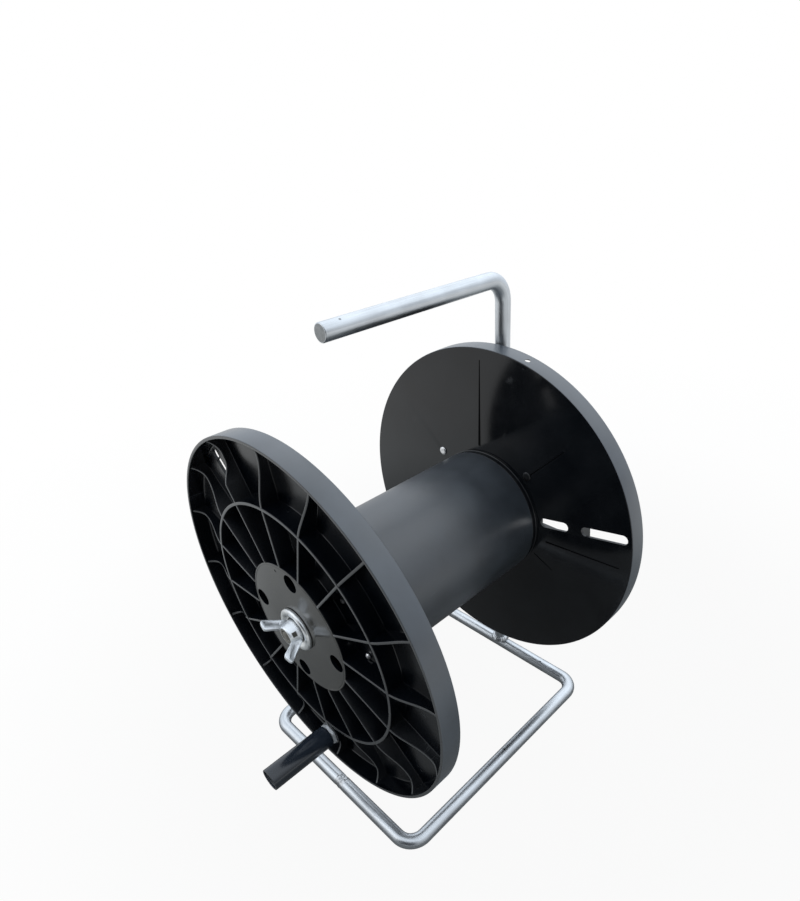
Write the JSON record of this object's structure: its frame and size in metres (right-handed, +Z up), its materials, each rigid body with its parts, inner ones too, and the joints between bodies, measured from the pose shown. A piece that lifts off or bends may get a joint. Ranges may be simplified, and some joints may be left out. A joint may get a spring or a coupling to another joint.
{
  "type": "hand cable reel",
  "caption": "Free-standing hand reel: a black flanged spool with a crank grip turns on an axle held by a bent zinc rod stand with a carrying handle.",
  "frame": {"origin": "lowest point of the base loop's back rod, on the floor plane, right under the upright rod", "axes": "+Z up along the upright rod; Y along the axle, with the crank and wing nut towards -Y; +X to the right seen from the crank side"},
  "size_m": [0.3, 0.3106, 0.3996],
  "materials": {
    "stand_zinc": "bright zinc plate",
    "weld_metal": "ground weld under zinc plate",
    "axle_zinc": "bright zinc plate",
    "washer_zinc": "bright zinc plate",
    "wing_nut_zinc": "zinc plated casting",
    "flange_black": "semi-gloss moulded",
    "barrel_black": "satin",
    "rivet_aluminium": "plain",
    "crank_nut_zinc": "bright zinc plate",
    "crank_bolt_zinc": "bright zinc plate",
    "grip_black": "gloss moulded"
  },
  "bodies": {
    "stand": {"base_loop": "stand_zinc", "carry_handle": "stand_zinc", "base_butt_weld": "weld_metal", "foot_weld": "weld_metal", "axle": "axle_zinc", "axle_weld": "weld_metal"},
    "spool": {"front_flange": "flange_black", "rear_flange": "flange_black", "barrel": "barrel_black", "front_rivet_1": "rivet_aluminium", "front_rivet_2": "rivet_aluminium", "rear_rivet_1": "rivet_aluminium", "rear_rivet_2": "rivet_aluminium", "crank_nut": "crank_nut_zinc", "crank_bolt": "crank_bolt_zinc"},
    "grip": {"crank_grip": "grip_black"},
    "clamp": {"pressure_washer": "washer_zinc"},
    "nut": {"wing_nut": "wing_nut_zinc"}
  },
  "joints": [
    {"name": "spool_spin", "type": "hinge", "parent": "stand", "child": "spool", "pos_m": [0, -0.1245, 0.19515], "axis": [0, 1, 0], "continuous": true},
    {"name": "grip_spin", "type": "hinge", "parent": "spool", "child": "grip", "pos_m": [0.00703, -0.27, 0.07686], "axis": [0, 1, 0], "continuous": true},
    {"name": "washer_slide", "type": "slide", "parent": "stand", "child": "clamp", "axis": [0, -1, 0], "range_m": [0, 0.00376]},
    {"name": "wing_nut_turn", "type": "hinge", "parent": "clamp", "child": "nut", "pos_m": [0, -0.2445, 0.19515], "axis": [0, -1, 0], "range_deg": [0, 1080]}
  ],
  "couplings": [
    {"joint": "washer_slide", "follows": "wing_nut_turn", "m_per_rad": 0.00019894}
  ]
}
